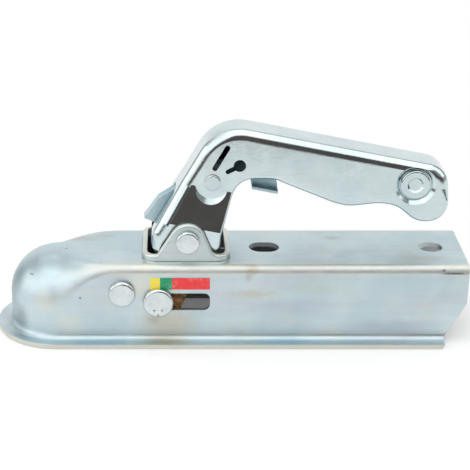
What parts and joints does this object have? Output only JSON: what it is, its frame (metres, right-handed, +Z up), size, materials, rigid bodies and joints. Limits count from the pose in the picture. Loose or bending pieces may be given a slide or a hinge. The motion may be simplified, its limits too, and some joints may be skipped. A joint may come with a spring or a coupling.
{
  "type": "trailer coupling head",
  "caption": "Pressed steel trailer coupling head for a tow ball, with a folded lever, safety catch, ball jaw, locking wedge with indicator pin, and a channel for the drawbar.",
  "frame": {"origin": "centre of the ball socket", "axes": "+X back along the drawbar, +Z up, pictured side at -Y"},
  "size_m": [0.2794, 0.0748, 0.1276],
  "materials": {
    "zinc_steel": "satin blue-white zinc plate, slightly smeared",
    "lever_zinc": "bright blue-white zinc plate",
    "rusty_casting": "bare casting with brown rust",
    "spring_steel": "oiled spring wire",
    "label": "printed vinyl in plain yellow, green and red fields"
  },
  "bodies": {
    "housing": {"housing": "zinc_steel", "jaw_pin": "zinc_steel", "jaw_pin_washer": "zinc_steel", "jaw_spacers": "zinc_steel", "lever_pin": "zinc_steel", "lever_pin_washer": "zinc_steel", "lever_washers": "zinc_steel", "lever_sleeve": "zinc_steel", "lever_spring": "spring_steel", "indicator_label": "label"},
    "lever": {"lever": "lever_zinc", "catch_pin": "zinc_steel", "catch_spacers": "zinc_steel", "catch_spring": "spring_steel", "grip_rivet": "zinc_steel", "grip_spacer": "zinc_steel"},
    "catch": {"safety_catch": "zinc_steel"},
    "slide": {"locking_wedge": "rusty_casting", "indicator_pin": "zinc_steel", "indicator_washer": "zinc_steel"},
    "jaw": {"jaw": "rusty_casting"}
  },
  "joints": [
    {"name": "lever_lift", "type": "hinge", "parent": "housing", "child": "lever", "pos_m": [0.0774, 0, 0.0417], "axis": [0, -1, 0], "range_deg": [0, 30], "stiffness_Nm_per_rad": 0.3, "springref_deg": -34.38, "deforming": ["lever_spring"]},
    {"name": "catch_release", "type": "hinge", "parent": "lever", "child": "catch", "pos_m": [0.0918, 0, 0.0751], "axis": [0, -1, 0], "range_deg": [0, 10], "stiffness_Nm_per_rad": 0.05, "springref_deg": -28.65, "deforming": ["catch_spring"]},
    {"name": "wedge_slide", "type": "slide", "parent": "housing", "child": "slide", "axis": [1, 0, 0], "range_m": [0, 0.0202]},
    {"name": "jaw_swing", "type": "hinge", "parent": "housing", "child": "jaw", "pos_m": [0.0389, 0, 0.0116], "axis": [0, -1, 0], "range_deg": [0, 16]}
  ],
  "couplings": [
    {"joint": "wedge_slide", "follows": "lever_lift", "m_per_rad": 0.03858},
    {"joint": "jaw_swing", "follows": "lever_lift", "ratio": 0.533}
  ]
}
